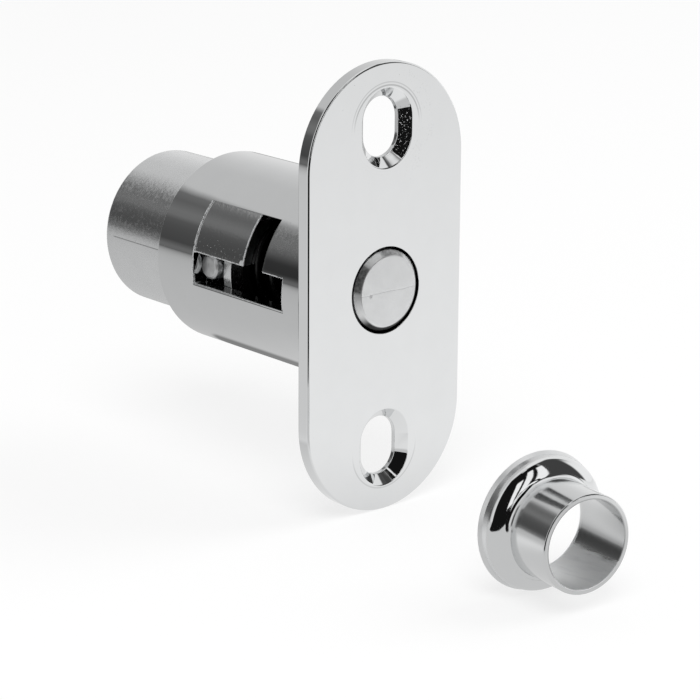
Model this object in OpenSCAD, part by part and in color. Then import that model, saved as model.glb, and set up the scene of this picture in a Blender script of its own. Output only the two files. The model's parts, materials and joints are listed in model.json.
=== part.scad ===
// Plunger lock: cast housing with a slotted flange, sliding barrel, keyed core,
// turning bolt with its locking pin, and the loose flanged bush the bolt enters.
// Y is the lock's axis: the key side faces -Y and the flange's open face lies at Y = 0.
// Z runs along the flange. The origin is the centre of the bolt hole on that face.

/* [Flange] */
// Flange length, end to end
plate_l = 50; // [48:0.5:60]
// Flange width
plate_w = 22; // [20:0.2:26]
// Flange thickness
plate_t = 1.6; // [1.6:0.1:2.2]
// Distance between the centres of the two screw slots
slot_pitch = 35.7; // [34.5:0.1:37]
// Width of a screw slot where it goes through
slot_w = 4.9; // [4:0.1:5.6]
// Length of a screw slot where it goes through
slot_l = 6.6; // [6:0.05:7.4]
// Depth of the countersink round a slot
sink_depth = 1.1; // [0.8:0.1:1.4]
// How far the countersink widens the slot on each side
sink_spread = 1.1; // [0.6:0.1:1.2]
// Bevel along the flange's outer front edge
plate_edge = 0.15; // [0.1:0.05:0.4]

/* [Housing] */
// Outside diameter of the housing, for a 22 mm bored hole
housing_d = 21.8; // [21.6:0.1:23]
// Front end of the housing, measured from the flange's open face
housing_len = 26.5; // [26:0.5:30]
// Wall between the barrel's bore and the flange's open face
floor_t = 2.4; // [2.3:0.1:2.8]
// Bolt hole in the flange
bolt_hole_d = 9.6; // [9.4:0.1:9.8]
// Depth of the slide-formed patch round the window below the outer surface
patch_depth = 0.12; // [0.08:0.02:0.2]
// Bevel on the window's outer long edges
window_edge = 0.24; // [0.1:0.02:0.3]

/* [Latch window] */
// Resting place of the locking pin, measured from the flange's open face
pin_y = 18.45; // [18.2:0.05:18.8]
// Place where the pin snaps up into the latch slot
latch_y = 9.775; // [9.6:0.05:9.9]
// Extra height of the window above the pin
window_rise = 0.65; // [0.5:0.05:0.8]
// Top of the latch slot above the lock's axis
latch_top = 7.5; // [7:0.1:7.8]
// Rear end of the window, measured from the flange's open face
window_rear = 4.6; // [4.2:0.1:5]

/* [Plunger barrel] */
// Outside diameter of the barrel
barrel_d = 17.95; // [17.8:0.05:18.1]
// Metal left behind the pin's slot in the barrel
rim_w = 1.3; // [1.1:0.1:1.5]
// Rounding of the barrel's front edge
barrel_round = 0.4; // [0.3:0.1:0.8]
// Full push of the barrel
stroke = 9.3; // [9:0.1:9.5]
// Width of the guide rib under the barrel
rib_w = 2.4; // [2:0.1:3]

/* [Bolt and pin] */
// Diameter of the bolt
bolt_d = 9; // [8.6:0.1:9.1]
// Bevel round the bolt's end
bolt_edge = 0.6; // [0.3:0.05:0.7]
// How far the bolt's end stands out of the flange at rest
bolt_proud = 0.5; // [0.3:0.1:0.8]
// Diameter of the bolt's head, the same as the core's
head_d = 12.3; // [12.2:0.05:12.5]
// Diameter of the locking pin
pin_d = 2.9; // [2.7:0.05:3]
// Outer end of the locking pin, measured from the lock's axis
pin_reach = 9.85; // [9.6:0.05:10.2]
// Lost motion of the core before it moves the bolt, which is also the turn of the key
core_turn = 45; // [40:1:48]

/* [Core and wafers] */
// Number of key wafers
wafer_count = 6; // [6:1:6]
// Distance from one key wafer to the next, which the barrel's length follows
wafer_pitch = 2; // [1.5:0.05:2.4]
// Thickness of a wafer
wafer_t = 0.9; // [0.7:0.05:0.95]
// From the barrel's front end to the middle of the first wafer
face_wall = 3.1; // [2.6:0.1:4]
// From the last key wafer to the retaining wafer
keeper_step = 2.2; // [2:0.05:2.4]
// From the core's rear end to the middle of the retaining wafer
keeper_web = 1.3; // [1:0.05:1.6]
// Travel of a key wafer out of the core
wafer_travel = 0.8; // [0.5:0.05:0.85]
// Width of the keyway
key_w = 2.1; // [1.8:0.1:2.2]
// Height of the keyway
key_h = 8.4; // [7.6:0.1:8.8]

/* [Springs] */
// Wire of the return spring
coil_wire = 0.7; // [0.6:0.05:0.72]
// Mean radius of the return spring
coil_r = 5.2; // [5.1:0.02:5.3]
// Full curls of the return spring, closed ends included
coil_turns = 5.5; // [4.5:0.5:5.5]
// Wire of a wafer spring
wafer_wire = 0.22; // [0.18:0.02:0.24]
// Full curls of a wafer spring
wafer_turns = 4; // [3:0.5:4]

/* [Striker bush] */
// Outside diameter of the bush's tube
tube_d = 10.5; // [10.2:0.05:10.8]
// Bore of the bush, over the bolt
tube_bore = 9.35; // [9.25:0.05:9.5]
// Diameter of the bush's flange
bush_flange_d = 14.8; // [14:0.1:17]
// Whole length of the bush, from its face to the tube's open end
bush_len = 8.5; // [7.5:0.1:12]
// Height of the bush's flange at its rim
bush_flange_t = 1.45; // [1.2:0.05:1.8]
// Rounding of the bore where it opens in the bush's face
bush_flare = 1.5; // [1.2:0.1:1.6]
// Distance of the bush's open end in front of the flange
bush_y = 36.5; // [36:0.5:60]
// Turn of the loose bush about the upright axis
bush_turn = 9; // [0:1:20]

/* [Hidden] */
$fn = 64;
eps = 0.01;
// What a cut reaches past the metal it goes through
past = 1;
// Running gaps and the small gaps that keep seated pieces apart
slide_gap = 0.05;
pin_gap = 0.1;
end_gap = 0.05;
rest_gap = 0.08;
head_gap = 0.15;
wafer_gap = 0.05;
channel_gap = 0.2;
seat = 0.02;
slot_play = 0.225;
// Bevels and small roundings
shell_edge = 0.2;
mouth_edge = 0.35;
pin_edge = 0.3;
bush_edge = 0.1;

pin_r = pin_d / 2;
housing_r = housing_d / 2;
barrel_r = barrel_d / 2;
bore_d = barrel_d + 2 * slide_gap;
core_bore = head_d + 2 * slide_gap;
core_d = head_d;

// Window in the housing, level with the pin, and the pin's rest under the tab's edge
window_low = pin_r;
window_high = pin_r + window_rise;
window_front = pin_y + pin_r + end_gap;
window_deep = 2;
latch_deep = 6;
patch_rear = latch_y - pin_r - slot_play;
// Pin angle above the level plane
pin_up = asin((window_rise - rest_gap) / pin_reach);
pin_root = 1;

// Places along the axis, counted from the flange's open face, from the rear to the front
barrel_rear = pin_y - pin_r - pin_gap - rim_w;
head_tail = 0.2;
head_web = 2.15;
head_rear = pin_y - pin_r - head_tail;
head_front = pin_y + pin_r + pin_gap + head_web;
core_rear = head_front + head_gap;
keeper_y = core_rear + keeper_web;
first_wafer = keeper_y + keeper_step + (wafer_count - 1) * wafer_pitch;
barrel_front = first_wafer + face_wall;
core_sunk = 0.1;
core_face = barrel_front - core_sunk;

// Guide rib under the barrel, and the housing's keyway that stops it at full push
rib_rise = 0.72;
rib_short = 0.6;
rib_top = barrel_r + rib_rise;
keyway_end = barrel_rear - stroke - pin_gap;

// Core: brim behind its face, and the tang that drives the bolt
core_brim = 1.05;
core_head_d = core_d + 2 * core_brim;
core_head_t = 1;
tang_w = 2.6;
tang_l = 8.4;
tang_depth = 1.9;
bow_depth = 2;
turn_slack = 0.2;
back_slack = 4.5;
ward_w = 0.7;
ward_low = 1.4;
ward_high = 2.6;

// Wafers: lug on one side, its spring in a round hole, and the channels they spring into
wafer_w = 6.8;
wafer_left = -wafer_w / 2;
wafer_right = wafer_w / 2;
wafer_r = core_d / 2 - wafer_gap;
bite_h = 2.7;
bite_gap = 0.1;
lug_left = 2.05;
lug_z = -0.4;
spring_x = 2.82;
spring_seat_z = -4;
spring_hole_d = 1.46;
wafer_coil_r = 0.5;
channel_w = wafer_w + 2 * channel_gap;
channel_top = wafer_r + wafer_travel + 0.25;
keeper_reach = core_d / 2 + 0.7;
keeper_w = 5;
keeper_top = core_d / 2 - 1.6;
keeper_lug_z = -core_d / 2 + 2.2;
keeper_slot_w = 1.8;
keeper_slot_low = -1.6;
keeper_slot_high = 1.8;

// Return spring: a leg into the bolt's head, and one out to a lug on the floor
coil_front = head_rear - seat - coil_wire / 2;
coil_rear = floor_t + seat + coil_wire / 2;
coil_end_pitch = coil_wire + 0.45;
coil_leg = 1;
leg_hole_d = coil_wire + 0.3;
leg_hole_deep = 1.3;
leg_reach = 3;
leg_turn = 120;
stop_in = coil_r + 1.2;
stop_out = barrel_r - 0.175;
stop_w = 1.2;
stop_h = 1;
wafer_end_pitch = wafer_wire + 0.43;

// Bush: lip and bevel of its rim, domed back of its flange, hollow rounding at the tube's root
bush_r = bush_flange_d / 2;
lip_t = 0.1;
lip_rise = 0.4;
lip_edge = 0.28;
dome_r = 3;
dome_in = tube_d / 2 - 0.35;
dome_z = bush_flange_t - sqrt(pow(dome_r, 2) - pow(bush_r - lip_edge - dome_in, 2));
root_r = 0.6;
root_x = tube_d / 2 + root_r;
root_z = dome_z + sqrt(pow(dome_r + root_r, 2) - pow(root_x - dome_in, 2));
root_meet = dome_in + (root_x - dome_in) * dome_r / (dome_r + root_r);
// Where the loose bush lies
bush_dir = [sin(bush_turn), cos(bush_turn), 0];
bush_z = -plate_l / 2 + bush_flange_d / 2;
bush_x = 5.6;

function wafer_y(i) = first_wafer - (i - 1) * wafer_pitch;

// The key height of each wafer's window, as the cuts of one key would ask
function key_step(i) = 0.3 * (((i * 5) % 4) - 1.5);

// A child drawn up its own Z from 0 stands along Y, its foot at Y = -back
module along(back) {
    translate([0, -back, 0])
        rotate([-90, 0, 0])
            children();
}

module rod(back, front, d) {
    along(back)
        cylinder(h = back - front, d = d);
}

module cone(back, front, d_back, d_front) {
    along(back)
        cylinder(h = back - front, d1 = d_back, d2 = d_front);
}

// A straight block given by its two corners
module block(low, high) {
    translate(low)
        cube(high - low);
}

// Slab with full-radius ends, w wide and l long, from Y = -back to Y = -front
module rounded_slab(w, l, back, front, widen = 0) {
    for (s = [-1, 1])
        translate([0, 0, s * (l - w) / 2])
            cone(back, front, w, w + 2 * widen);
    translate([0, 0, -(l - w) / 2])
        linear_extrude(height = l - w)
            polygon([[-w / 2, -back], [w / 2, -back],
                     [w / 2 + widen, -front], [-w / 2 - widen, -front]]);
}

module screw_slot() {
    rounded_slab(slot_w, slot_l, floor_t + past, -past);
    rounded_slab(slot_w, slot_l, sink_depth, -eps, sink_spread);
}

module flange() {
    rounded_slab(plate_w, plate_l, plate_t, plate_edge);
    rounded_slab(plate_w, plate_l, plate_edge, 0, -plate_edge);
}

module housing_shell() {
    rod(housing_len - shell_edge, plate_t - eps, housing_d);
    cone(housing_len, housing_len - shell_edge, housing_d - 2 * shell_edge, housing_d);
}

// What the side slide of the die leaves open: window, latch slot, and their bevels
module window_cut() {
    side = sqrt(pow(housing_r, 2) - pow(window_low, 2));
    edge_w = window_edge * sqrt(2);
    edge_l = window_front - window_rear + window_edge;
    block([barrel_r - window_deep, -window_front, -window_low],
          [housing_d, -window_rear, window_high]);
    block([barrel_r - latch_deep, -latch_y - pin_r - slot_play, 0],
          [housing_d, -latch_y + pin_r + slot_play, latch_top]);
    translate([side, -(window_front + window_rear) / 2, -window_low])
        rotate([0, 45, 0])
            cube([edge_w, edge_l, edge_w], center = true);
}

// Thin skin taken off round the window, with its own boundary lines
module patch_cut() {
    intersection() {
        block([past, -window_front, -window_low],
              [housing_d, -patch_rear, latch_top]);
        difference() {
            rod(window_front, patch_rear, housing_d + past);
            rod(window_front + past, patch_rear - past, housing_d - 2 * patch_depth);
        }
    }
}

module spring_stop() {
    side = -0.8 * coil_wire - coil_wire / 2 - seat;
    translate([0, -floor_t, 0])
        rotate([0, leg_turn + 360 * coil_turns, 0])
            block([stop_in, -stop_h, side - stop_w], [stop_out, eps, side]);
}

module housing() {
    color("silver")
    difference() {
        union() {
            difference() {
                union() {
                    flange();
                    housing_shell();
                }
                rod(housing_len + past, floor_t, bore_d);
                cone(housing_len + eps, housing_len - mouth_edge,
                     bore_d + 2 * mouth_edge, bore_d);
                block([-rib_w / 2 - slide_gap, -housing_len - past, -rib_top - pin_gap],
                      [rib_w / 2 + slide_gap, -keyway_end, 0]);
            }
            spring_stop();
        }
        rod(floor_t + past, -past, bolt_hole_d);
        window_cut();
        patch_cut();
        for (s = [-1, 1])
            translate([0, 0, s * slot_pitch / 2])
                screw_slot();
    }
}

module barrel_body() {
    along(barrel_front)
        rotate_extrude() {
            translate([0, barrel_round])
                square([barrel_r, barrel_front - barrel_rear - barrel_round]);
            square([barrel_r - barrel_round, barrel_front - barrel_rear]);
            translate([barrel_r - barrel_round, barrel_round])
                circle(r = barrel_round);
        }
    block([-rib_w / 2, -housing_len + rib_short, -rib_top],
          [rib_w / 2, -barrel_rear, -barrel_r + rib_rise]);
}

// Part of a disc between two turns about the axis, counted from +X towards -Z
module sector(back, front, r, from_deg, to_deg) {
    along(back)
        linear_extrude(height = back - front)
            intersection() {
                circle(r = r);
                polygon(concat([[0, 0]],
                    [for (k = [0 : 8])
                        let (a = from_deg + (to_deg - from_deg) * k / 8)
                        2 * r * [cos(a), sin(a)]]));
            }
}

module plunger_barrel() {
    pin_half = asin(pin_r / (core_bore / 2));
    swing = 40;
    color("gainsboro")
    difference() {
        barrel_body();
        rod(barrel_front + past, barrel_rear - past, core_bore);
        rod(barrel_front + past, core_face - core_head_t - wafer_gap,
            core_head_d + 2 * slide_gap);
        // channels the wafers spring into when no key is in
        block([-channel_w / 2, -first_wafer - wafer_t, 0],
              [channel_w / 2, -barrel_rear + past, channel_top]);
        block([-channel_w / 2, -first_wafer - wafer_t, -channel_top],
              [channel_w / 2, -keeper_y - keeper_step / 2, 0]);
        // ring groove that keeps the retaining wafer, and the core with it
        rod(keeper_y + wafer_t / 2 + pin_gap, keeper_y - wafer_t / 2 - pin_gap,
            2 * (keeper_reach + pin_gap));
        // slot the locking pin swings in
        sector(pin_y + pin_r + pin_gap, pin_y - pin_r - pin_gap, barrel_d,
               -(swing + pin_half), pin_half + pin_up);
    }
}

module driver_bolt() {
    shank_end = -bolt_proud;
    color("lightsteelblue")
    difference() {
        union() {
            rod(head_front, head_rear, head_d);
            rod(head_rear + past, shank_end + bolt_edge, bolt_d);
            cone(shank_end + bolt_edge, shank_end, bolt_d, bolt_d - 2 * bolt_edge);
        }
        // bow-tie recess: the core's tang turns freely inside it, then drives one flank
        along(head_front + past)
            linear_extrude(height = bow_depth + past)
                bow_tie();
        pin_place()
            cylinder(h = head_d, d = pin_d);
        // hole for the spring's straight leg
        rotate([0, leg_turn, 0])
            translate([coil_r, 0, 0])
                rod(head_rear + leg_hole_deep, head_rear - past, leg_hole_d);
    }
}

module bow_tie() {
    low = -back_slack;
    high = core_turn + turn_slack;
    r = tang_l / 2 + pin_gap * 2;
    intersection() {
        circle(r = r);
        union() {
            for (a = [low, high])
                rotate([0, 0, a])
                    square([tang_w, 3 * r], center = true);
            for (s = [0, 180])
                rotate([0, 0, s])
                    polygon(concat([[0, 0]],
                        [for (k = [0 : 6])
                            let (a = 90 + low + (high - low) * k / 6)
                            2 * r * [cos(a), sin(a)]]));
        }
    }
}

// The pin's inner end, with its own Z pointing out of the bolt's head
module pin_place() {
    translate([0, -pin_y, 0])
        rotate([0, 90 - pin_up, 0])
            translate([0, 0, pin_root])
                children();
}

module locking_pin() {
    straight = pin_reach - pin_root - pin_edge;
    color("dimgray")
    pin_place() {
        cylinder(h = straight, d = pin_d);
        translate([0, 0, straight])
            cylinder(h = pin_edge, d1 = pin_d, d2 = pin_d - 2 * pin_edge);
    }
}

module cylinder_plug() {
    color("goldenrod")
    difference() {
        union() {
            rod(core_face, core_face - core_head_t, core_head_d);
            rod(core_face - core_head_t + eps, core_rear, core_d);
            intersection() {
                rod(core_rear + eps, core_rear - tang_depth, tang_l);
                block([-tang_w / 2, -core_rear - past, -tang_l],
                      [tang_w / 2, -core_rear + tang_depth + past, tang_l]);
            }
        }
        keyway();
        for (i = [1 : wafer_count])
            translate([0, -wafer_y(i), 0])
                wafer_seat();
        translate([0, -keeper_y, 0])
            rotate([0, 180, 0])
                wafer_seat();
    }
}

// Keyway with one side ward, from the core's face through all the key wafers
module keyway() {
    last = wafer_y(wafer_count) - wafer_t;
    block([-key_w / 2, -core_face - past, -key_h / 2],
          [key_w / 2, -last, key_h / 2]);
    block([-key_w / 2 - ward_w, -core_face - past, -key_h / 2 + ward_low],
          [0, -last, -key_h / 2 + ward_high]);
}

// Room for one wafer and for the round hole its spring stands in
module wafer_seat() {
    half = wafer_t / 2 + wafer_gap;
    block([wafer_left - wafer_gap, -half, -core_d], [lug_left + wafer_gap, half, core_d]);
    block([0, -half, spring_seat_z], [wafer_right + 2 * wafer_gap, half, core_d]);
    translate([spring_x, 0, spring_seat_z])
        cylinder(h = core_d, d = spring_hole_d);
}

// A key wafer: rounded ends flush with the core, a window for the key, a side lug
module key_wafer(i) {
    step = key_step(i);
    color("peru")
    translate([0, -wafer_y(i), 0])
        difference() {
            intersection() {
                rod(wafer_t / 2, -wafer_t / 2, 2 * wafer_r);
                union() {
                    block([wafer_left, -wafer_t, -core_d], [lug_left, wafer_t, core_d]);
                    block([0, -wafer_t, lug_z], [wafer_right, wafer_t, core_d]);
                }
            }
            block([-key_w / 2 - bite_gap, -wafer_t, -bite_h + step],
                  [key_w / 2 + bite_gap, wafer_t, bite_h + step]);
        }
}

module retaining_wafer() {
    color("sienna")
    translate([0, -keeper_y, 0])
        difference() {
            intersection() {
                rod(wafer_t / 2, -wafer_t / 2, 2 * keeper_reach);
                union() {
                    block([-lug_left, -wafer_t, -core_d],
                          [keeper_w / 2, wafer_t, keeper_top]);
                    block([wafer_left, -wafer_t, keeper_lug_z],
                          [0, wafer_t, -lug_z]);
                }
            }
            block([-keeper_slot_w / 2, -wafer_t, keeper_slot_low],
                  [keeper_slot_w / 2, wafer_t, keeper_slot_high]);
        }
}

// Height on a coil of n curls after t curls, its first and last curl at end_pitch
function coil_height(t, n, z0, z1, end_pitch) =
    let (body = (z1 - z0 - 2 * end_pitch) / (n - 2))
    t < 1 ? z0 + end_pitch * t
    : t > n - 1 ? z1 - end_pitch * (n - t)
    : z0 + end_pitch + body * (t - 1);

// Eight places to a curl
function coil_path(r, n, z0, z1, end_pitch) =
    [for (k = [0 : 8 * n])
        let (t = k / 8, a = 360 * t)
        [r * cos(a), r * sin(a), coil_height(t, n, z0, z1, end_pitch)]];

function unit(v) = v / norm(v);

// Rings of six corners round each place of a path, closed to one tube by triangles
function ring(path, k, wire) =
    let (n = len(path) - 1,
         d = unit(path[min(k + 1, n)] - path[max(k - 1, 0)]),
         side = unit(abs(d[2]) > 0.9 ? cross([0, 1, 0], d) : cross(d, [0, 0, 1])),
         up = cross(side, d))
    [for (j = [0 : 5])
        path[k] + wire / 2 * (cos(60 * j + 30) * side + sin(60 * j + 30) * up)];

module wire_tube(path, wire) {
    n = len(path) - 1;
    points = [for (k = [0 : n]) each ring(path, k, wire)];
    sides = [for (k = [0 : n - 1], j = [0 : 5])
        let (a = 6 * k + j, b = 6 * k + (j + 1) % 6)
        each [[a, b, b + 6], [a, b + 6, a + 6]]];
    caps = [for (j = [1 : 4])
        each [[0, j + 1, j], [6 * n, 6 * n + j, 6 * n + j + 1]]];
    polyhedron(points = points, faces = concat(sides, caps), convexity = 6);
}

// Smallest free gap between places of a path at least three quarters of a curl apart
function self_gap(path, wire) =
    min([for (k = [0 : len(path) - 1], m = [k + 6 : len(path) - 1])
        norm(path[k] - path[m])]) - wire;

// One tube: straight leg into the bolt's head, the curls, and a leg out along the floor
module return_spring() {
    body = coil_path(coil_r, coil_turns, 0, coil_front - coil_rear, coil_end_pitch);
    last = body[len(body) - 1];
    out = [cos(360 * coil_turns), sin(360 * coil_turns), 0];
    on = 0.8 * coil_wire * [-out[1], out[0], 0];
    echo(return_spring_gap = self_gap(body, coil_wire));
    color("slategray")
    along(coil_front)
        rotate([0, 0, leg_turn])
            wire_tube(concat(
                [[coil_r, 0, -coil_leg], [coil_r, 0, 0]],
                [for (k = [1 : len(body) - 1]) body[k]],
                [last + on + 0.5 * out, last + on + leg_reach * out]),
                coil_wire);
}

function wafer_coil_path() =
    coil_path(wafer_coil_r, wafer_turns, wafer_wire / 2 + seat,
              lug_z - spring_seat_z - wafer_wire / 2 - seat, wafer_end_pitch);

module wafer_coil() {
    wire_tube(wafer_coil_path(), wafer_wire);
}

module wafer_spring(i) {
    if (i == 1)
        echo(wafer_spring_gap = self_gap(wafer_coil_path(), wafer_wire));
    color("slategray")
    translate([spring_x, -wafer_y(i), spring_seat_z])
        wafer_coil();
}

module retaining_spring() {
    color("slategray")
    translate([-spring_x, -keeper_y, -lug_z])
        wafer_coil();
}

// Half outline of the bush, its face at 0 and its open end up
module bush_outline() {
    difference() {
        union() {
            translate([0, eps])
                square([tube_d / 2, bush_len - bush_edge - eps]);
            polygon([[0, bush_len - 2 * bush_edge], [tube_d / 2, bush_len - bush_edge],
                     [tube_d / 2 - bush_edge, bush_len], [0, bush_len]]);
            polygon([[0, 0], [bush_r - lip_edge, 0], [bush_r, lip_t],
                     [bush_r - lip_edge, lip_t + lip_rise], [0, lip_t + lip_rise]]);
            intersection() {
                square([bush_r - lip_edge, dome_r]);
                translate([dome_in, dome_z])
                    circle(r = dome_r);
            }
            difference() {
                square([root_meet, root_z]);
                translate([root_x, root_z])
                    circle(r = root_r);
            }
        }
        translate([-eps, -eps])
            square([tube_bore / 2 + eps, bush_len + past]);
        difference() {
            translate([0, -eps])
                square([tube_bore / 2 + bush_flare, bush_flare + eps]);
            translate([tube_bore / 2 + bush_flare, bush_flare])
                circle(r = bush_flare);
        }
    }
}

module striker_bush() {
    color("whitesmoke")
    translate([bush_x - bush_dir[0] * bush_len, bush_y - bush_dir[1] * bush_len, bush_z])
        rotate([0, 0, -bush_turn])
            along(0)
                rotate_extrude()
                    bush_outline();
}

housing();
plunger_barrel();
driver_bolt();
locking_pin();
return_spring();
cylinder_plug();
key_wafer(1);  // wafer_1
key_wafer(2);  // wafer_2
key_wafer(3);  // wafer_3
key_wafer(4);  // wafer_4
key_wafer(5);  // wafer_5
key_wafer(6);  // wafer_6
wafer_spring(1);  // wafer_spring_1
wafer_spring(2);  // wafer_spring_2
wafer_spring(3);  // wafer_spring_3
wafer_spring(4);  // wafer_spring_4
wafer_spring(5);  // wafer_spring_5
wafer_spring(6);  // wafer_spring_6
retaining_wafer();
retaining_spring();
striker_bush();
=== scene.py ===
"""Plunger lock and its loose striker bush, plated and lit as a catalogue picture."""
import json
import math
import bmesh
import bpy
from mathutils import Matrix, Vector
from mathutils.bvhtree import BVHTree
from mathutils.geometry import barycentric_transform

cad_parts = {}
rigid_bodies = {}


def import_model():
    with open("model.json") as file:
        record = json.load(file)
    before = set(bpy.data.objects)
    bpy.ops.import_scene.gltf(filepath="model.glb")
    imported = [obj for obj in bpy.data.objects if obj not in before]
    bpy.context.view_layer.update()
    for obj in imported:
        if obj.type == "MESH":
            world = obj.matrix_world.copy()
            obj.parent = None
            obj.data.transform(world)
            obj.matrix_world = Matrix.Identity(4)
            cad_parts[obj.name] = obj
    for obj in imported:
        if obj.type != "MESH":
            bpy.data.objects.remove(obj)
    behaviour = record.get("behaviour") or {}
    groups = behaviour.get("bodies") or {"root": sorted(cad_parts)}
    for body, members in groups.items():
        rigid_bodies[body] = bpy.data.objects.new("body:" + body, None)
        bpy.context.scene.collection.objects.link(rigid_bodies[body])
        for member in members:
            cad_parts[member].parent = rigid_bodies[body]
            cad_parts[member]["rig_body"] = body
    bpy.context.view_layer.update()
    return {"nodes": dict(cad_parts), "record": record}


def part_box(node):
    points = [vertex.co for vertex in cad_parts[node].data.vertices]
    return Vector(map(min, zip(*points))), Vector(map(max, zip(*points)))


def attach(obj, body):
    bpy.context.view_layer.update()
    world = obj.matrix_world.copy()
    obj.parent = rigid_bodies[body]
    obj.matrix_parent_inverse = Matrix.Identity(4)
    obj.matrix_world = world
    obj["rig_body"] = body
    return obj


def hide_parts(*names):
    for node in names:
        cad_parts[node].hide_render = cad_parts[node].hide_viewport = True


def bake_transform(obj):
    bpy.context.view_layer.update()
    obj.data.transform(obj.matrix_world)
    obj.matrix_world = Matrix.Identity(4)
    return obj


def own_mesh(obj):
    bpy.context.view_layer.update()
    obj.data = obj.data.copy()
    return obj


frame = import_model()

MM = 0.001
FLOOR_Z = -25.0 * MM
SLOT_PITCH = 35.7
BUSH_END = Vector((5.6, 36.5, -17.6))
BUSH_TURN = math.radians(9)
DEGREES = 180 / math.pi
# The bare metal's tone, painted near black as shade inside the lock
BARE_AND_SHADE_TONE, BARE_ROUGH = 0.07, 0.5  # metal that the plating doesn't reach


# The camera, placed by the outline of the flange, the housing and the bush

CAMERA_PLACE = Vector((192.29, 214.86, 77.52)) * MM
CAMERA_BACK = Vector((0.63056, 0.72366, 0.28056)).normalized()
CAMERA_ROLL = 0.0054
LENS = 142.0


def set_camera():
    side = (-CAMERA_BACK).cross(Vector((0, 0, 1))).normalized()
    up = side.cross(-CAMERA_BACK)
    right = math.cos(CAMERA_ROLL) * side + math.sin(CAMERA_ROLL) * up
    top = math.cos(CAMERA_ROLL) * up - math.sin(CAMERA_ROLL) * side
    data = bpy.data.cameras.new("catalogue_camera")
    data.lens = LENS
    data.sensor_width = 36.0
    data.sensor_fit = "HORIZONTAL"
    data.clip_start = 0.01
    data.clip_end = 20.0
    camera = bpy.data.objects.new("catalogue_camera", data)
    turn = Matrix((right, top, CAMERA_BACK)).transposed().to_4x4()
    camera.matrix_world = Matrix.Translation(CAMERA_PLACE) @ turn
    bpy.context.scene.collection.objects.link(camera)
    bpy.context.scene.camera = camera


set_camera()
bpy.context.scene.view_settings.view_transform = "Standard"


class Wire:
    """A socket of a finish. Sums and products written with it add the Math nodes."""

    def __init__(self, finish, socket):
        self.finish = finish
        self.socket = socket

    def sum(self, operation, *terms):
        return self.finish.node("Math", {"operation": operation}, dict(enumerate(terms)))[0]

    def __add__(self, other):
        return self.sum("ADD", self, other)

    __radd__ = __add__

    def __sub__(self, other):
        return self.sum("SUBTRACT", self, other)

    def __rsub__(self, other):
        return self.sum("SUBTRACT", other, self)

    def __mul__(self, other):
        return self.sum("MULTIPLY", self, other)

    __rmul__ = __mul__

    def __truediv__(self, other):
        return self.sum("DIVIDE", self, other)

    def __rtruediv__(self, other):
        return self.sum("DIVIDE", other, self)

    def __pow__(self, other):
        return self.sum("POWER", self, other)

    def __rpow__(self, other):
        return self.sum("POWER", other, self)

    def __neg__(self):
        return self.sum("MULTIPLY", self, -1.0)

    def bigger(self, other):
        return self.sum("MAXIMUM", self, other)

    def smaller(self, other):
        return self.sum("MINIMUM", self, other)

    def size(self):
        return self.sum("ABSOLUTE", self)

    def angle(self, other):
        """The angle in degrees whose tangent is this over the other."""
        return self.sum("ARCTAN2", self, other) * DEGREES

    def to(self, other, part):
        """This value, or the other one where part is 1."""
        return self + (other - self) * part

    def ramp(self, low, high):
        """0 up to low, 1 from high on, and an even S between them."""
        return self.finish.node("MapRange", {"interpolation_type": "SMOOTHSTEP"},
                                {"Value": self, "From Min": low, "From Max": high})[0]

    def within(self, low, high, soft=0.04):
        """1 between low and high, and a soft fall at both ends."""
        return self.ramp(low - soft, low + soft) * (1 - self.ramp(high - soft, high + soft))

    def near(self, place, inside, outside):
        """1 as far as inside from the place, and 0 from outside on."""
        return 1 - (self - place).size().ramp(inside, outside)

    def line(self, place, half):
        """1 within half a width of the place, fading out just beyond."""
        return self.near(place, 0.6 * half, 1.4 * half)


def reach(one, other):
    """How far a point lies from the middle, by its two distances."""
    return (one * one + other * other) ** 0.5


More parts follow.
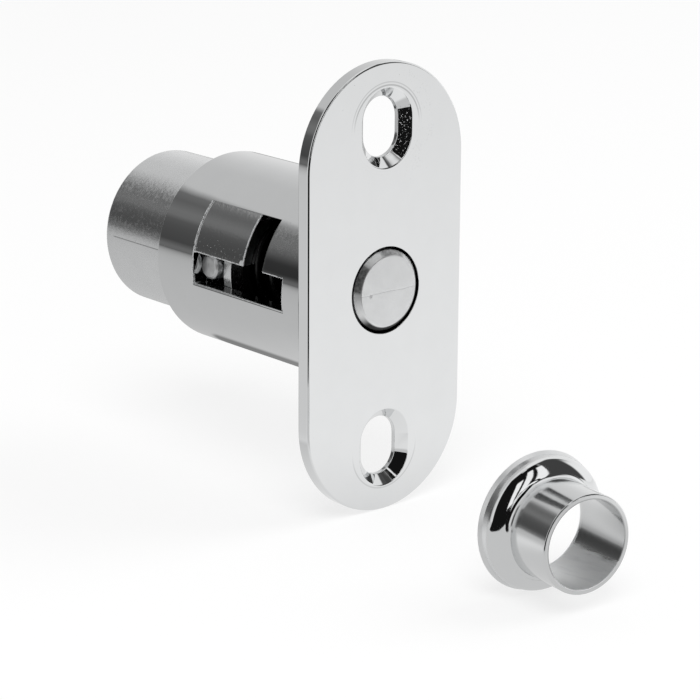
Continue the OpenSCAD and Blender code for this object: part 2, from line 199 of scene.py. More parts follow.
class Finish:
    """One material or the world, built from nodes."""

    def __init__(self, holder):
        holder.use_nodes = True
        self.holder = holder
        self.tree = holder.node_tree
        self.tree.nodes.clear()

    def node(self, kind, settings=None, inputs=None):
        """Adds a shader node of that type, settings first, and returns its outputs as wires."""
        made = self.tree.nodes.new("ShaderNode" + kind)
        for name, value in (settings or {}).items():
            if name == "stops":
                ramp = made.color_ramp
                while len(ramp.elements) < len(value):
                    ramp.elements.new(1.0)
                for element, (place, tone) in zip(ramp.elements, value):
                    element.position = place
                    element.color = (tone, tone, tone, 1.0)
            else:
                setattr(made, name, value)
        for key, value in (inputs or {}).items():
            socket = made.inputs[key]
            if isinstance(value, Wire):
                self.tree.links.new(value.socket, socket)
            else:
                socket.default_value = value
        return [Wire(self, out) for out in made.outputs]

    def place(self):
        """The point of the piece in millimetres of the lock's frame, whole and as x, y and z."""
        spot = self.node("TexCoord")[3]
        spot = self.node("VectorMath", {"operation": "SCALE"}, {0: spot, "Scale": 1.0 / MM})[0]
        return spot, self.node("SeparateXYZ", None, {0: spot})

    def grain(self, spot, size, detail=2.0, rough=0.5, stretch=(1.0, 1.0, 1.0)):
        """Noise between 0 and 1 with patches about size millimetres across."""
        spot = self.node("VectorMath", {"operation": "MULTIPLY"}, {0: spot, 1: stretch})[0]
        return self.node("TexNoise", None, {"Vector": spot, "Scale": 1.0 / size,
                                            "Detail": detail, "Roughness": rough})[0]

    def mottle(self, spot, size, amount, detail=2.0):
        """That noise about 0, as a lightening and darkening by up to half the amount."""
        return (self.grain(spot, size, detail) - 0.5) * amount

    def tint(self, part, low, high):
        """A colour part of the way from low to high."""
        return self.node("Mix", {"data_type": "RGBA"}, {0: part, 6: low, 7: high})[2]

    def silver(self, tone):
        """The bluish grey of a plated metal, from black to nearly white."""
        return self.tint(tone, (0.0, 0.0, 0.0, 1.0), (0.99, 1.0, 1.005, 1.0))

    def grey(self, tone):
        """The same grey in red, green and blue."""
        return self.node("CombineColor", None, {0: tone, 1: tone, 2: tone})[0]

    def bump(self, height, depth, under=None):
        """Relief of that depth in millimetres, over the relief under it."""
        inputs = {"Height": height * depth, "Strength": 1.0, "Distance": MM}
        if under is not None:
            inputs["Normal"] = under
        return self.node("Bump", None, inputs)[0]

    def pits(self, spot, apart, size):
        """Round pits size millimetres across, about one in three of a lattice apart millimetres."""
        cells = self.node("TexVoronoi", None, {"Vector": spot, "Scale": 1.0 / apart})
        chance = self.node("SeparateColor", None, {0: cells[1]})[0]
        return (1 - (cells[0] * apart).ramp(0.2 * size, 0.6 * size)) * chance.ramp(0.66, 0.7)

    def metal(self, colour, roughness, normal):
        return self.surface(self.node("BsdfPrincipled", None, {
            "Base Color": colour, "Metallic": 1.0, "Roughness": roughness, "Normal": normal})[0])

    def surface(self, shader, output="OutputMaterial"):
        self.node(output, None, {"Surface": shader})
        return self.holder


def new_finish(name):
    return Finish(bpy.data.materials.new(name))


def housing_plating():
    """Bright nickel and chrome over the casting: a slow wave, fine pits, the countersinking
    tool's ring round each slot, a duller skin and a rough line where the mould's slide met
    the round, painted highlights along the window's edges and on the flange's side, a painted
    dark band behind the flange, and bare metal down the bore, painted dark as shade."""
    f = new_finish("plated_housing")
    spot, (x, y, z) = f.place()
    across = reach(x, z)
    past_slot = z.size() - SLOT_PITCH / 2
    from_slot = reach(past_slot, x)
    open_face = y.ramp(-0.1, -0.02)
    upper_slot = z.ramp(0.0, 1.0)
    fine = f.grain(spot, 0.45, 3.0, 0.6)
    pits = f.pits(spot, 0.8, 0.16)

    # Bare metal down the bore, painted dark as shade
    bare_and_shaded = (1 - across.ramp(9.0, 9.06)) * (1 - y.ramp(-2.5, -2.3))

    # The countersinking tool's rings, the outer one round the upper slot only
    inner_ring = from_slot.near(4.62, 0.03, 0.13)
    outer_ring = from_slot.near(4.95, 0.03, 0.1) * 0.6 * upper_slot
    ring = (inner_ring + outer_ring) * open_face
    ring_shade = ring * past_slot.ramp(-0.4, 2.4) * (0.14 + 0.12 * upper_slot)

    # The duller patch that the mould's slide leaves, with bright specks at its lower end
    skin = across.ramp(10.68, 10.72) * (1 - across.ramp(10.82, 10.86)) * x.ramp(2.0, 3.0)
    skin = skin * y.ramp(-19.98, -19.94) * (1 - y.ramp(-8.2, -8.1))
    specks = f.grain(spot, 0.3, 3.0, 0.7).ramp(0.62, 0.7) * (1 - z.ramp(2.6, 5.0))

    # Wear and painted highlights along the patch's edges, and its worn corner, painted bright
    rear_line = y.line(-20.03, 0.1) * z.within(-1.5, 7.5)
    step_line = y.line(-11.56, 0.1) * z.within(2.0, 7.5)
    front_line = y.line(-4.52, 0.06) * z.within(-1.4, 2.1)
    tab_line = z.line(2.17, 0.08) * (y.within(-20.0, -11.45) + y.within(-8.1, -4.6))
    worn_and_highlit = rear_line.bigger(step_line).bigger(front_line).bigger(tab_line)
    worn_and_highlit = worn_and_highlit * f.grain(spot, 0.35, 2.0).ramp(0.3, 0.5)
    corner = 1 - reach(y + 11.8, z - 2.35).ramp(0.25, 0.45)
    worn_and_highlit = worn_and_highlit.bigger(corner) * across.ramp(10.55, 10.65) * x.ramp(5.0, 6.0)

    # Flecks in the upper countersink, and a stain on the face beside it
    sink = y.within(-1.12, -0.06) * z.within(14.5, 20.0) * (1 - x.size().ramp(3.7, 3.8))
    flecks = f.grain(spot, 0.22, 2.0, 0.6).ramp(0.6, 0.66) * sink
    stain = f.grain(spot, 0.3, 3.0, 0.7).ramp(0.54, 0.62) * f.grain(spot, 1.6).ramp(0.45, 0.6)
    stain = stain * from_slot.near(5.6, 0.5, 1.8) * (1 - x.ramp(-3.2, -2.0))
    stain = stain * open_face * z.ramp(8.0, 12.0)

    # A painted highlight on the flange's side, a painted dark band and a dull band between the window
    # and the flange
    flange_side_highlight = x.ramp(10.9, 10.97) * y.within(-1.5, -0.15)
    behind_flange = y.within(-8.0, -1.7, 0.3) * x.ramp(6.0, 7.0)
    painted_dark_band = behind_flange * z.within(2.2, 3.9, 0.5)
    dull_band = behind_flange * z.within(4.2, 7.4, 0.6)

    rubbed_and_highlit = (specks * skin).bigger(worn_and_highlit).bigger(flecks * 0.7)
    tone = 0.76 + f.mottle(spot, 3.0, 0.03) - pits * 0.04 - stain * 0.07
    tone = tone + flange_side_highlight * 0.2 - painted_dark_band * 0.4 - ring_shade
    rough = 0.025 + fine * 0.02 + skin * 0.06 + dull_band * fine * 0.4
    normal = f.bump(f.grain(spot, 7.0, 1.0), 0.012)
    normal = f.bump(fine, 0.0006, normal)
    normal = f.bump(pits, -0.002, normal)
    normal = f.bump(ring, -0.0025, normal)
    normal = f.bump(f.grain(spot, 0.5, 3.0, 0.65) * skin, 0.008, normal)
    tone = tone.to(0.95, rubbed_and_highlit).to(BARE_AND_SHADE_TONE, bare_and_shaded)
    rough = rough.to(0.85, rubbed_and_highlit).to(BARE_ROUGH, bare_and_shaded)
    return f.metal(f.silver(tone), rough, normal)


def barrel_plating():
    """The same plating over a rougher casting, with the mould's parting line along its side."""
    f = new_finish("plated_barrel")
    spot, (x, y, z) = f.place()
    # Bare metal inside the barrel, painted dark as shade
    bare_and_shaded = (1 - reach(x, z).ramp(7.3, 7.4)) * y.ramp(-38.8, -38.6)
    crinkle = f.grain(spot, 0.4, 4.0, 0.62)
    seam = z.near(0.31, 0.03, 0.09) * x.ramp(0.0, 1.0)
    seam = seam * (1 - y.ramp(-27.2, -26.6)) * y.ramp(-37.6, -37.0)
    tone = 0.8 + f.mottle(spot, 2.0, 0.05) + (crinkle - 0.5) * 0.12 - seam * 0.25
    rough = 0.17 + crinkle.ramp(0.45, 0.66) * 0.13
    normal = f.bump(f.grain(spot, 5.0, 1.0), 0.02)
    normal = f.bump(crinkle, 0.012, normal)
    normal = f.bump(seam, 0.008, normal)
    tone = tone.to(BARE_AND_SHADE_TONE, bare_and_shaded)
    return f.metal(f.silver(tone), rough.to(BARE_ROUGH, bare_and_shaded), normal)


def bolt_casting():
    """Dull cast and plated bolt with the parting line across its end, painted shade in a ring where
    it rests in the hole's mouth and on the edge's lower right, and painted near black as shade inside
    the lock."""
    f = new_finish("bolt_metal")
    spot, (x, y, z) = f.place()
    across = reach(x, z)
    fine = f.grain(spot, 0.35, 4.0, 0.65)
    end_face = y.ramp(0.4, 0.45)
    side = 1 - y.ramp(-1.6, -1.0)

    # Painted shade in the hole's mouth, further in, and on the edge's lower right
    mouth_shade_noise = f.grain(spot, 0.9, 3.0)
    mouth_shade = (y + (mouth_shade_noise - 0.5) * 0.6).within(-2.3, -1.3, 0.5) * (0.6 + 0.25 * mouth_shade_noise)
    inner_shade = mouth_shade.bigger(1 - y.ramp(-12.0, -9.6))
    edge_shade = across + 0.22 * (-(x * 0.8 + z * 0.6)).ramp(1.5, 3.5)
    edge_shade = edge_shade.ramp(3.98, 4.14) * (-(x * 0.5 + z * 0.85)).ramp(-0.2, 1.8)

    # The parting line and a nick on the end
    seam = (z + f.mottle(spot, 2.0, 0.3)).near(0.0, 0.02, 0.1) * end_face
    nick = (1 - reach(x - 2.6, z + 0.15).ramp(0.08, 0.3)) * end_face

    # The bevel, with painted dark reflections in two places and a painted highlight between them
    bevel = across.ramp(3.9, 4.0) * (1 - side)
    around = z.angle(x)
    dark_reflection = around.within(5.0, 46.0, 3.0) * 0.6 + around.within(80.0, 122.0, 5.0) * 0.42
    bright = around.within(49.0, 77.0, 3.0) * 0.25
    bevel_tone = (bright - dark_reflection) * (0.85 + (fine - 0.5) * 1.8)

    drawn = f.grain(spot, 0.4, 3.0, 0.6, (1.0, 0.15, 1.0))
    tone = 0.8 + f.mottle(spot, 1.5, 0.1, 3.0) - seam * 0.04 - nick * 0.25
    tone = (tone + bevel * bevel_tone).to(0.5 + drawn * 0.14, side)
    tone = tone.to(0.04, inner_shade.bigger(edge_shade * (1 - side)))
    rough = (0.34 + fine * 0.14 + bevel * 0.04).to(0.45, inner_shade)
    normal = f.bump(f.grain(spot, 2.5, 1.0), 0.01)
    normal = f.bump(fine, 0.006, normal)
    normal = f.bump(seam * 0.4 + nick, -0.02, normal)
    return f.metal(f.silver(tone), rough, normal)


def pin_steel():
    """Ground steel, with turning marks round it and a brushed end."""
    f = new_finish("pin_steel")
    spot, _ = f.place()
    marks = f.grain(spot, 0.25, 2.0, 0.5, (4.0, 0.6, 0.6))
    tone = 0.66 + f.mottle(spot, 0.8, 0.4, 3.0)
    return f.metal(f.silver(tone), 0.3 + marks * 0.15, f.bump(marks, 0.004))


def spring_wire():
    """Dark drawn wire under a film of oil, its colour painted near black as shade inside the lock."""
    f = new_finish("spring_steel")
    spot, _ = f.place()
    film = f.grain(spot, 0.8, 2.0)
    normal = f.bump(f.grain(spot, 0.2), 0.001)
    return f.metal(f.silver(0.035 + film * 0.04), 0.35 + film * 0.15, normal)


def core_plating():
    """Nickel plate with the lathe's fine rings on its face."""
    f = new_finish("core_metal")
    spot, (x, y, z) = f.place()
    rings = f.node("TexNoise", {"noise_dimensions": "1D"},
                   {"W": reach(x, z) * 9.0, "Detail": 3.0})[0]
    face = 1 - y.ramp(-38.85, -38.7)
    tone = 0.7 + f.mottle(spot, 2.0, 0.05)
    normal = f.bump(f.grain(spot, 0.4, 3.0), 0.001)
    normal = f.bump(rings * face, 0.004, normal)
    return f.metal(f.silver(tone), 0.14 + f.grain(spot, 0.5) * 0.1, normal)


def wafer_brass():
    """Stamped brass, rubbed bright where the key runs."""
    f = new_finish("wafer_brass")
    spot, _ = f.place()
    film = f.grain(spot, 0.9, 3.0)
    brass = f.tint(film, (0.62, 0.43, 0.17, 1.0), (0.72, 0.55, 0.25, 1.0))
    return f.metal(brass, 0.22 + film * 0.14, f.bump(f.grain(spot, 0.3), 0.002))


def bush_plating():
    """Mirror plate over drawn sheet, with the faint lines of the drawing along the tube, a
    softer rim, and a duller bore painted darker as shade, rubbed satin along its lower side and
    painted lighter there."""
    f = new_finish("bush_metal")
    spot, (x, y, z) = f.place()
    lines = f.grain(spot, 0.5, 3.0, 0.6, (1.0, 0.12, 1.0))
    fine = f.grain(spot, 0.6, 3.0, 0.6)
    level = (x - BUSH_END.x) * math.cos(BUSH_TURN) - (y - BUSH_END.y) * math.sin(BUSH_TURN)
    across = reach(level, z - BUSH_END.z)
    bore = 1 - across.ramp(4.75, 4.85)
    satin_and_light = bore * (BUSH_END.z - z + (lines - 0.5) * 1.2).ramp(2.4, 3.1)
    tube = across.ramp(5.0, 5.1) * (1 - across.ramp(5.35, 5.5))
    rim = across.ramp(7.02, 7.14)
    # The bore painted darker as shade, and its satin lower side painted lighter
    tone = 0.79 + f.mottle(spot, 2.0, 0.03) - (bore - satin_and_light) * 0.24
    tone = tone + satin_and_light * (0.2 + (lines - 0.5) * 0.3)
    rough = 0.03 + fine * 0.04 + bore * 0.1 + rim * 0.25 + tube * 0.08 + satin_and_light * 0.42
    normal = f.bump(f.grain(spot, 5.0, 1.0), 0.01)
    normal = f.bump(lines, 0.002, normal)
    return f.metal(f.silver(tone), rough, normal)


FINISHES = {
    "plated_housing": housing_plating(),
    "plated_barrel": barrel_plating(),
    "bolt_metal": bolt_casting(),
    "pin_steel": pin_steel(),
    "spring_steel": spring_wire(),
    "core_metal": core_plating(),
    "wafer_brass": wafer_brass(),
    "bush_metal": bush_plating(),
}
slots = {s["node"]: s["material_slot"] for s in frame["record"]["subparts"]}
for node, piece in frame["nodes"].items():
    for s in piece.material_slots:
        s.material = FINISHES[slots[node]]


def linked(name, mesh):
    """A new object of that mesh, in the scene."""
    piece = bpy.data.objects.new(name, mesh)
    bpy.context.scene.collection.objects.link(piece)
    return piece


def plain_mesh(name, points, faces):
    mesh = bpy.data.meshes.new(name)
    mesh.from_pydata(points, [], faces)
    return linked(name, mesh)


# Pieces with their edges eased, as tumbling and plating leave them


EASES = (("housing", 0.09), ("plunger_barrel", 0.09), ("driver_bolt", 0.06),
         ("locking_pin", 0.1), ("cylinder_plug", 0.04))

# Two distances in metres, the cosine between two directions, and a part of the way
SAME_POINT = 2e-7
CLOSE_BY = 0.05 * MM
SAME_SIDE = 0.93
INTO_FACE = 0.02


def true_normals(node):
    """Finds the exact surface direction that the lock's own mesh has at a point."""
    mesh = frame["nodes"][node].data
    mesh.calc_loop_triangles()
    corners = [c.vector.copy() for c in mesh.corner_normals]
    spots = [v.co.copy() for v in mesh.vertices]
    triangles = [(tuple(t.vertices), tuple(t.loops), t.normal.copy()) for t in mesh.loop_triangles]
    tree = BVHTree.FromPolygons(spots, [t[0] for t in triangles])

    def at(spot, facing):
        best, least = facing, 1.0
        for _, _, index, away in tree.find_nearest_range(spot, CLOSE_BY):
            verts, loops, normal = triangles[index]
            if away < least and normal.dot(facing) > SAME_SIDE:
                least = away
                best = barycentric_transform(spot, *[spots[v] for v in verts],
                                             *[corners[c] for c in loops])
        return best.normalized()

    return at


def eased(node, ease, segments=2, sharp=28.0):
    """The CAD piece again, with every sharp edge rounded over by ease millimetres."""
    cad = frame["nodes"][node]
    normal_at = true_normals(node)
    bm = bmesh.new()
    bm.from_mesh(cad.data)
    bmesh.ops.remove_doubles(bm, verts=bm.verts, dist=SAME_POINT)
    bmesh.ops.dissolve_limit(bm, angle_limit=math.radians(0.5), verts=bm.verts, edges=bm.edges)

    def normal_inside(face, spot):
        """The exact surface direction a little way into the face from a spot on its rim."""
        return normal_at(spot.lerp(face.calc_center_median(), INTO_FACE), face.normal)

    def creased(edge):
        """Whether the surface turns sharply at this edge, and not as facets of a round do."""
        if len(edge.link_faces) != 2 or math.degrees(edge.calc_face_angle(0.0)) < sharp:
            return False
        middle = (edge.verts[0].co + edge.verts[1].co) / 2
        one, other = [normal_inside(face, middle) for face in edge.link_faces]
        return math.degrees(one.angle(other)) > sharp

    hard = [e for e in bm.edges if creased(e)]
    made = bmesh.ops.bevel(bm, geom=hard, offset=ease * MM, offset_type="OFFSET", segments=segments,
                           profile=0.5, affect="EDGES", clamp_overlap=False, loop_slide=True)
    rounds = set(made["faces"])
    bm.normal_update()
    normals = []
    for v in bm.verts:
        total = Vector()
        for face in v.link_faces:
            if face not in rounds:
                total += normal_inside(face, v.co) * face.calc_area() ** 0.5
        normals.append(total.normalized() if total.length > 0 else v.normal.copy())
    for face in bm.faces:
        face.smooth = True
    mesh = bpy.data.meshes.new(node + "_eased")
    bm.to_mesh(mesh)
    bm.free()
    mesh.normals_split_custom_set_from_vertices(normals)
    piece = linked(node + "_eased", mesh)
    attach(piece, cad["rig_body"])
    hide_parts(node)
    mesh.materials.append(FINISHES[slots[node]])


for node, ease in EASES:
    eased(node, ease)


# The bush, turned from its half outline as (radius, height above its face) in millimetres


def arc(centre, radius, start, end, steps, hollow=False):
    """Places round a centre between two angles from straight out, each with its outward direction."""
    run = []
    for k in range(steps + 1):
        turn = math.radians(start + (end - start) * k / steps)
        out = Vector((math.cos(turn), math.sin(turn)))
        run.append((Vector(centre) + radius * out, -out if hollow else out))
    return run


def straight(start, end, out):
    return [(Vector(start), Vector(out).normalized()), (Vector(end), Vector(out).normalized())]


def with_eased_corners(runs, ease):
    """The runs joined to one ring, with each corner that turns by more than 0.2 radians
    rounded over."""
    turned, same_spot = 0.2, 1e-6
    ring = []
    for k, run in enumerate(runs):
        before, after = runs[k - 1], runs[(k + 1) % len(runs)]
        spots = list(run)
        if spots[0][1].angle(before[-1][1]) > turned:
            ahead = (spots[1][0] - spots[0][0]).normalized()
            came = (before[-1][0] - before[-2][0]).normalized()
            corner = spots[0][0]
            out = (spots[0][1] + before[-1][1]).normalized()
            spots[0] = (corner + ahead * ease, spots[0][1])
            ring.append((corner + (ahead - came) * ease * 0.25, out))
        if spots[-1][1].angle(after[0][1]) > turned:
            came = (spots[-1][0] - spots[-2][0]).normalized()
            spots[-1] = (spots[-1][0] - came * ease, spots[-1][1])
        elif (spots[-1][0] - after[0][0]).length < same_spot:
            spots.pop()
        ring.extend(spots)
    return ring


def bush_outline():
    tube, bore, flare, length = 5.25, 4.675, 1.5, 8.5
    rim, lip, lip_low, lip_high = 7.4, 0.28, 0.1, 0.5
    dome_mid, dome_r, rim_turn = Vector((4.9, -0.557)), 3.0, 50.0
    root_mid, root_r, end_bevel = Vector((5.85, 2.905)), 0.6, 0.1
    rim_cos, rim_sin = math.cos(math.radians(rim_turn)), math.sin(math.radians(rim_turn))
    edge = dome_mid + dome_r * Vector((rim_cos, rim_sin))
    wall = rim - lip
    roll_r = (wall - edge.x) / (1 - rim_cos)
    roll_mid = Vector((wall - roll_r, edge.y - roll_r * rim_sin))
    root_turn = math.degrees(math.atan2(root_mid.y - dome_mid.y, root_mid.x - dome_mid.x))
    return with_eased_corners([
        arc((bore + flare, flare), flare, 180, 270, 14),
        straight((bore + flare, 0), (wall, 0), (0, -1)),
        straight((wall, 0), (rim, lip_low), (lip_low, -lip)),
        straight((rim, lip_low), (wall, lip_high), (lip_high - lip_low, lip)),
        straight((wall, lip_high), roll_mid + Vector((roll_r, 0)), (1, 0)),
        arc(roll_mid, roll_r, 0, rim_turn, 10),
        arc(dome_mid, dome_r, rim_turn, root_turn, 12),
        arc(root_mid, root_r, root_turn + 180, 180, 12, hollow=True),
        straight((tube, root_mid.y), (tube, length - end_bevel), (1, 0)),
        straight((tube, length - end_bevel), (tube - end_bevel, length), (1, 1)),
        straight((tube - end_bevel, length), (bore, length), (0, 1)),
        straight((bore, length), (bore, flare), (-1, 0)),
    ], 0.04), length


def turned_bush(steps=160):
    outline, length = bush_outline()
    level = Vector((math.cos(BUSH_TURN), -math.sin(BUSH_TURN), 0))
    ahead = Vector((math.sin(BUSH_TURN), math.cos(BUSH_TURN), 0))
    points, normals, faces = [], [], []
    for k in range(steps):
        turn = 2 * math.pi * k / steps
        side = level * math.cos(turn) + Vector((0, 0, math.sin(turn)))
        for spot, out in outline:
            points.append((BUSH_END + ahead * (spot.y - length) + side * spot.x) * MM)
            normals.append(side * out.x + ahead * out.y)
    n = len(outline)
    for k in range(steps):
        after = (k + 1) % steps
        for i in range(n):
            j = (i + 1) % n
            faces.append((k * n + i, k * n + j, after * n + j, after * n + i))
    piece = plain_mesh("striker_bush_turned", points, faces)
    if piece.data.polygons[0].normal.dot(normals[0]) < 0:
        piece.data.flip_normals()
    for face in piece.data.polygons:
        face.use_smooth = True
    piece.data.normals_split_custom_set_from_vertices(normals)
    piece.data.materials.append(FINISHES["bush_metal"])
    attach(piece, "housing")
    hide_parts("striker_bush")


turned_bush()


# The springs, wound again from round wire


def coil(radius, turns, low, high, end_pitch, steps=28):
    """Places along a spring with its first and last curl closed, drawn up from low to high."""
    body_pitch = (high - low - 2 * end_pitch) / (turns - 2)
    spots = []
    for k in range(int(turns * steps) + 1):
        t = k / steps
        if t < 1:
            rise = low + end_pitch * t
        elif t > turns - 1:
            rise = high - end_pitch * (turns - t)
        else:
            rise = low + end_pitch + body_pitch * (t - 1)
        turn = 2 * math.pi * t
        spots.append(Vector((radius * math.cos(turn), radius * math.sin(turn), rise)))
    return spots


def wound(name, node, spots, thick, sides=12):
    """Round wire of that thickness along the places, with eased ends. Each row is a place, how
    far it is pushed along the wire, and how wide the wire is there, both in its radius."""
    spots = [s * MM for s in spots]
    r = thick / 2 * MM
    last = len(spots) - 1
    rows = [(0, -0.75, 0.55), (0, -0.3, 0.9)]
    rows += [(i, 0.0, 1.0) for i in range(1, last)]
    rows += [(last, 0.3, 0.9), (last, 0.75, 0.55)]
    points, faces = [], []
    across = None
    for i, push, wide in rows:
        ahead = (spots[min(i + 1, last)] - spots[max(i - 1, 0)]).normalized()
        if across is None:
            across = ahead.orthogonal()
        across = (across - ahead * across.dot(ahead)).normalized()
        up = ahead.cross(across)
        centre = spots[i] + ahead * push * r
        for k in range(sides):
            turn = 2 * math.pi * k / sides
            points.append(centre + (across * math.cos(turn) + up * math.sin(turn)) * r * wide)
    for row in range(len(rows) - 1):
        for k in range(sides):
            n = (k + 1) % sides
            faces.append((row * sides + k, row * sides + n,
                          (row + 1) * sides + n, (row + 1) * sides + k))
    faces.append(tuple(reversed(range(sides))))
    faces.append(tuple((len(rows) - 1) * sides + k for k in range(sides)))
    piece = plain_mesh(name, points, faces)
    for face in piece.data.polygons:
        face.use_smooth = len(face.vertices) == 4
    piece.data.materials.append(FINISHES["spring_steel"])
    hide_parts(node)
    return piece


def return_spring():
    """Straight leg into the bolt's head, the curls, and a leg out to the stop on the floor."""
    radius, thick, turns = 5.2, 0.7, 5.5
    front, rear, leg_turn = 16.43, 2.77, math.radians(120)
    curls = coil(radius, turns, 0.0, front - rear, thick + 0.45)

    # The leg in the bolt's head stands midway in its hole's swing
    half_play = math.radians(1.4)
    start = Vector((radius * math.cos(half_play), radius * math.sin(half_play), 0))
    spots = [start + Vector((0, 0, -1.0)), start + Vector((0, 0, -0.35)),
             start + Vector((0, 0.12, 0.0))]
    spots += curls[2:]

    # The leg on the floor bends out of the last curl
    end = curls[-1]
    out = Vector((math.cos(2 * math.pi * turns), math.sin(2 * math.pi * turns), 0))
    on = 0.8 * thick * Vector((-out.y, out.x, 0))
    spots += [end + on * 0.7 + 0.12 * out, end + on + 0.5 * out, end + on + 3.0 * out]

    turn = Matrix.Rotation(leg_turn, 3, "Z")
    laid = []
    for spot in spots:
        spot = turn @ spot
        laid.append(Vector((spot.x, spot.z - front, -spot.y)))
    piece = wound("return_coil", "return_spring", laid, thick)
    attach(piece, "housing")
    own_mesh(piece)


def small_spring(name, node, centre, up):
    """Spring in the core's round hole that pushes on a wafer's lug."""
    foot, lug, thick, inset = -4.0, -0.4, 0.22, 0.13
    curls = coil(0.5, 4, foot + inset, lug - inset, thick + 0.43, 20)
    spots = [Vector((centre.x + up * c.x, centre.y + c.y, up * c.z)) for c in curls]
    piece = wound(name, node, spots, thick, 8)
    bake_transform(piece)


def spring_hole(side, box):
    """The middle of a wafer's spring hole, on that side of the core, from the wafer's box."""
    return Vector((side * 2.82, (box[0][1] + box[1][1]) / 2 / MM, 0))


return_spring()
for i in range(1, 7):
    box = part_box("wafer_%d" % i)
    small_spring("wafer_coil_%d" % i, "wafer_spring_%d" % i,
                 spring_hole(1, box), 1)
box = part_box("retaining_wafer")
small_spring("retaining_coil", "retaining_spring", spring_hole(-1, box), -1)


# The studio: white all round, a pale floor, a cloth tent that only the metal sees


TENT_R = 700.0
TABLE_R = 698.0
FLOOR_HALF = 3000.0

# Where the tent's dark fades out, in degrees up
TENT_DARK_TOP = (54.0, 62.0)

# The wall's greys from the floor up to WALL_TOP degrees, as (part of the way, grey)
WALL_TOP = 45.0
WALL_TONES = [(0.0, 0.16), (0.09, 0.07), (0.24, 0.08), (0.33, 0.09), (0.42, 0.11), (0.49, 0.18),
              (0.56, 0.19), (0.62, 0.165), (0.69, 0.134), (0.77, 0.17), (0.8, 0.37), (0.83, 0.6)]

# White panels in degrees, as (one side, other side, top)
WHITE_PANELS = ((-22.0, -13.0, 40.0), (-8.0, 0.5, 40.0), (4.5, 14.0, 28.0))


def only_mirrored(piece, f, tone):
    """Gives the piece that glow, which nothing but the metal sees."""
    piece.data.materials.append(f.surface(f.node("Emission", None, {"Color": f.grey(tone)})[0]))
    piece.visible_camera = False
    piece.visible_diffuse = False
    piece.visible_transmission = False
    piece.visible_volume_scatter = False
    piece.visible_shadow = False


def dome(name, radius, foot, rings=24, steps=48):
    points, faces = [], []
    for i in range(rings):
        lift = math.radians(90.0 * i / rings)
        for k in range(steps):
            turn = 2 * math.pi * k / steps
            flat = radius * math.cos(lift) * MM
            points.append((flat * math.cos(turn), flat * math.sin(turn),
                           foot + radius * math.sin(lift) * MM))
    points.append((0, 0, foot + radius * MM))
    for i in range(rings - 1):
        for k in range(steps):
            n = (k + 1) % steps
            faces.append((i * steps + k, i * steps + n, (i + 1) * steps + n, (i + 1) * steps + k))
    last = (rings - 1) * steps
    for k in range(steps):
        faces.append((last + k, last + (k + 1) % steps, last + steps))
    return plain_mesh(name, points, faces)


def tent():
    """White cloth all round, open and dark behind the lock's window side and round the camera."""
    piece = dome("light_tent", TENT_R, FLOOR_Z)
    f = new_finish("tent_cloth")
    _, (x, y, z) = f.place()
    lift = z.angle(reach(x, y))
    turn = x.angle(-y)  # from behind the lock towards its window side
    ahead = x.angle(y)  # from in front of the flange towards its window side
    under_top = 1 - lift.ramp(*TENT_DARK_TOP)

    # The white cloth, a little brighter away from the window
    tone = 0.62 + 0.1 * (1 - turn.ramp(-40.0, -15.0)) + 0.2 * (1 - turn.ramp(-75.0, -40.0))
    tone = tone + 0.08 * (1 - lift.ramp(8.0, 30.0)) * (1 - turn.ramp(-15.0, 0.0))
    tone = tone + 0.2 * turn.ramp(80.0, 110.0)

    # The wall behind the window side, in bands from the floor up
    wall = f.node("ValToRGB", {"stops": WALL_TONES}, {0: lift / WALL_TOP})[0]
    wall = f.node("SeparateColor", None, {0: wall})[0]
    tone = tone.to(wall, turn.within(0.0, 80.0, 6.0) * (1 - lift.ramp(37.0, 38.0)))

    # The dark round the camera
    tone = tone.to(0.008, ahead.within(-20.0, 61.0, 3.0) * under_top)
    tone = tone.to(0.06, ahead.within(-53.0, -20.0, 3.0) * under_top)
    tone = tone.to(0.08, ahead.within(-66.0, -50.0, 3.0) * lift.ramp(20.0, 40.0) * under_top)

    # White panels and a stripe hung in front of the dark
    for low, high, top in WHITE_PANELS:
        tone = tone.to(1.05, ahead.within(low, high, 0.7) * (1 - lift.ramp(top - 3.0, top)))
    tone = tone.to(1.0, ahead.within(2.0, 14.0, 1.0) * lift.within(50.0, 56.0, 1.0))
    only_mirrored(piece, f, tone)


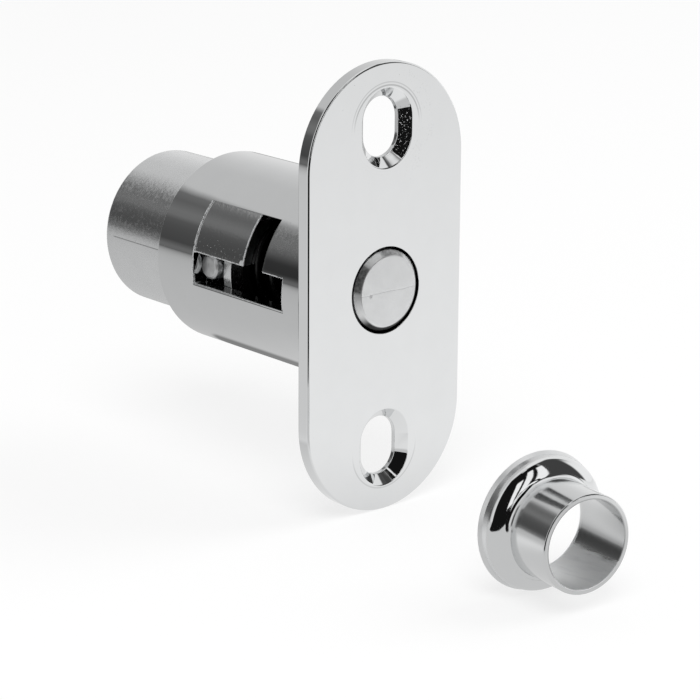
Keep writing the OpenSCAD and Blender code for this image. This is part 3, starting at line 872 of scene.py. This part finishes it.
def table_card():
    """The table as the metal sees it: white in front of the flange, greyer behind the lock,
    and ending 58 mm from the lock on the camera's side."""
    steps, above_floor = 96, 0.05
    points = []
    for k in range(steps):
        turn = 2 * math.pi * k / steps
        points.append((TABLE_R * MM * math.cos(turn), TABLE_R * MM * math.sin(turn),
                       FLOOR_Z + above_floor * MM))
    piece = plain_mesh("table_card", points, [tuple(range(steps))])
    f = new_finish("table_card")
    _, (x, y, _) = f.place()
    far = reach(x, y)
    tone = 0.6 + 0.42 * (y - x * 0.4).ramp(-45.0, 30.0) - far.smaller(300.0) * 0.0004
    back = far.ramp(150.0, 700.0) * (1 - y.ramp(-60.0, 0.0)) * x.angle(-y).ramp(-12.0, -4.0)
    tone = tone * (1 - 0.75 * back)
    tone = tone.to(0.66, x.ramp(-18.0, -8.0) * (y + x * 0.6).ramp(20.0, 32.0))
    # The lock's shadow on the table, painted into the card's tone
    painted_lock_shadow = x.within(-40.0, -3.0, 2.5) * (y - x * 0.67 + 19.5).within(-22.0, 6.0, 0.8)
    edge = (x * 0.657 + y * 0.754).ramp(58.0, 61.0) * (1 - x.angle(y).ramp(58.0, 62.0))
    tone = (tone * (1 - 0.58 * painted_lock_shadow)).to(0.008, edge)
    only_mirrored(piece, f, tone)


def seen_directly(f):
    """1 for what the camera sees, straight or in a mirror or through an opening."""
    path = f.node("LightPath")
    camera, glossy, transmission = path[0], path[3], path[6]
    return camera.bigger(glossy).bigger(transmission)


def floor():
    w = FLOOR_HALF * MM
    corners = [(-w, -w, FLOOR_Z), (w, -w, FLOOR_Z), (w, w, FLOOR_Z), (-w, w, FLOOR_Z)]
    piece = plain_mesh("pale_floor", corners, [(0, 1, 2, 3)])
    f = new_finish("pale_floor")
    matt = f.node("BsdfDiffuse", None, {"Color": (0.95, 0.95, 0.95, 1)})[0]
    glow = f.node("Emission", None, {"Color": (1, 1, 1, 1), "Strength": 1.0})[0]
    white = f.node("MixShader", None, {0: seen_directly(f) * 0.7, 1: matt, 2: glow})[0]
    piece.data.materials.append(f.surface(white))


def world():
    made = bpy.data.worlds.new("studio_white")
    bpy.context.scene.world = made
    f = Finish(made)
    dim = f.node("Background", None, {"Color": (1, 1, 1, 1), "Strength": 0.55})[0]
    white = f.node("Background", None, {"Color": (1, 1, 1, 1), "Strength": 1.0})[0]
    f.surface(f.node("MixShader", None, {0: seen_directly(f), 1: dim, 2: white})[0], "OutputWorld")


def lamp(name, place, size, watts):
    """A soft round lamp turned to the lock, which leaves no spot of light on the metal."""
    data = bpy.data.lights.new(name, "AREA")
    data.shape = "DISK"
    data.size = size
    data.energy = watts
    piece = bpy.data.objects.new(name, data)
    piece.location = place
    piece.rotation_euler = (-Vector(place)).to_track_quat("-Z", "Y").to_euler()
    piece.visible_glossy = False
    bpy.context.scene.collection.objects.link(piece)


tent()
table_card()
floor()
world()
lamp("key_lamp", (0.45, 0.5, 0.9), 0.7, 6.0)
lamp("fill_lamp", (-0.7, 0.3, 0.6), 0.7, 3.0)
